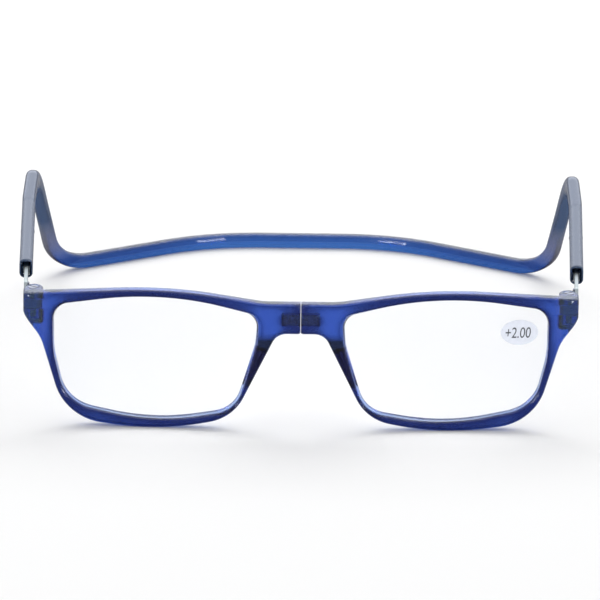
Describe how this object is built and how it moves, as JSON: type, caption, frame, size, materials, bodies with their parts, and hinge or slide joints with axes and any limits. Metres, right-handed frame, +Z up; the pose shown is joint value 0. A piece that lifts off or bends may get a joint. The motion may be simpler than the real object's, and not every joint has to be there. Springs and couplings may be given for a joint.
{
  "type": "magnetic bridge reading glasses",
  "caption": "Reading glasses whose front parts at a magnetic bridge, hinged on steel arms that slide in a wrap-around headband.",
  "frame": {"origin": "on the surface that the glasses stand on, below the middle of their outline seen from above", "axes": "+Z up, the front looks along -Y, +X to the right of someone who faces the front"},
  "size_m": [0.1464, 0.1472, 0.0367],
  "materials": {
    "frame_plastic": "polished, slightly translucent blue",
    "band_plastic": "polished, slightly translucent blue",
    "lens_acrylic": "clear, polished",
    "label_film": "satin film",
    "magnet_plating": "nickel plated",
    "bright_steel": "polished",
    "strip_steel": "drawn strip",
    "spring_steel": "bright rolled strip",
    "insert_brass": "turned"
  },
  "bodies": {
    "root": {"headband": "band_plastic", "left_spring_clip": "spring_steel", "right_spring_clip": "spring_steel", "left_guide_pin": "bright_steel", "right_guide_pin": "bright_steel"},
    "left_arm": {"left_temple_arm": "strip_steel", "left_stop_rivet": "bright_steel"},
    "left_front": {"left_rim": "frame_plastic", "left_lens": "lens_acrylic", "left_bridge_magnet": "magnet_plating", "left_hinge_screw": "bright_steel", "left_hinge_insert": "insert_brass"},
    "right_arm": {"right_temple_arm": "strip_steel", "right_stop_rivet": "bright_steel"},
    "right_front": {"right_rim": "frame_plastic", "right_lens": "lens_acrylic", "right_bridge_magnet": "magnet_plating", "right_hinge_screw": "bright_steel", "right_hinge_insert": "insert_brass", "power_label": "label_film"}
  },
  "joints": [
    {"name": "left_arm_slide", "type": "slide", "parent": "root", "child": "left_arm", "axis": [0.0227, -0.9997, 0], "range_m": [-0.01, 0.005]},
    {"name": "left_hinge", "type": "hinge", "parent": "left_arm", "child": "left_front", "pos_m": [-0.0678, -0.0658, 0.0316], "axis": [0, 0, 1], "range_deg": [-20, 90]},
    {"name": "right_arm_slide", "type": "slide", "parent": "root", "child": "right_arm", "axis": [-0.0227, -0.9997, 0], "range_m": [-0.01, 0.005]},
    {"name": "right_hinge", "type": "hinge", "parent": "right_arm", "child": "right_front", "pos_m": [0.0678, -0.0658, 0.0316], "axis": [0, 0, -1], "range_deg": [-20, 90]}
  ]
}
